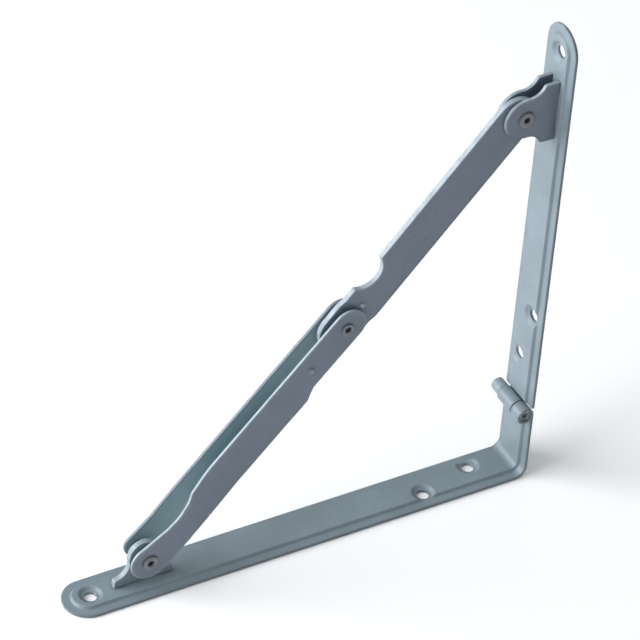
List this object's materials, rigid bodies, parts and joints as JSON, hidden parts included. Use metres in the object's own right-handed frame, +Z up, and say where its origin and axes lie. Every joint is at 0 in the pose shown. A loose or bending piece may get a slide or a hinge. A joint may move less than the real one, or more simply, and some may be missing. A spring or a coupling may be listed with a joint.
{
  "type": "folding shelf bracket",
  "caption": "Folding shelf bracket: two pressed steel legs on a rolled corner hinge, held open at a right angle by a folding brace of a channel and a flat bar.",
  "frame": {"origin": "bottom centre of the bounding box: middle of the shelf leg's length, on its outer face, on the middle line of the sheet", "axes": "+Z up along the wall leg; +X along the shelf leg towards the corner, out of the wall leg's mounting face; +Y across the sheet, away from the hinge's near knuckle"},
  "size_m": [0.2, 0.0227, 0.218],
  "materials": {
    "leg_paint": "semi-gloss grey-green powder coat",
    "brace_paint": "semi-gloss blue-grey powder coat",
    "rivet_paint": "painted steel, worn on the crown"
  },
  "bodies": {
    "shelf": {"shelf_leg": "leg_paint", "shelf_lug": "leg_paint", "hinge_pin": "leg_paint"},
    "wall": {"wall_leg": "leg_paint", "wall_clevis": "brace_paint", "wall_pivot_rivet": "rivet_paint"},
    "channel": {"lower_link": "brace_paint", "shelf_pivot_rivet": "rivet_paint", "middle_rivet": "rivet_paint", "stop_stud": "rivet_paint"},
    "bar": {"upper_link": "brace_paint"}
  },
  "joints": [
    {"name": "fold", "type": "hinge", "parent": "shelf", "child": "wall", "pos_m": [0.09635, 0, 0.033], "axis": [0, -1, 0], "range_deg": [0, 90]},
    {"name": "channel_swing", "type": "hinge", "parent": "shelf", "child": "channel", "pos_m": [-0.0665, 0, 0.0156], "axis": [0, 1, 0], "range_deg": [0, 46.2]},
    {"name": "bar_swing", "type": "hinge", "parent": "wall", "child": "bar", "pos_m": [0.0844, 0, 0.1815], "axis": [0, -1, 0], "range_deg": [0, 41.3]}
  ],
  "couplings": [
    {"joint": "channel_swing", "follows": "fold", "ratio": 0.51198},
    {"joint": "bar_swing", "follows": "fold", "ratio": 0.45744}
  ]
}
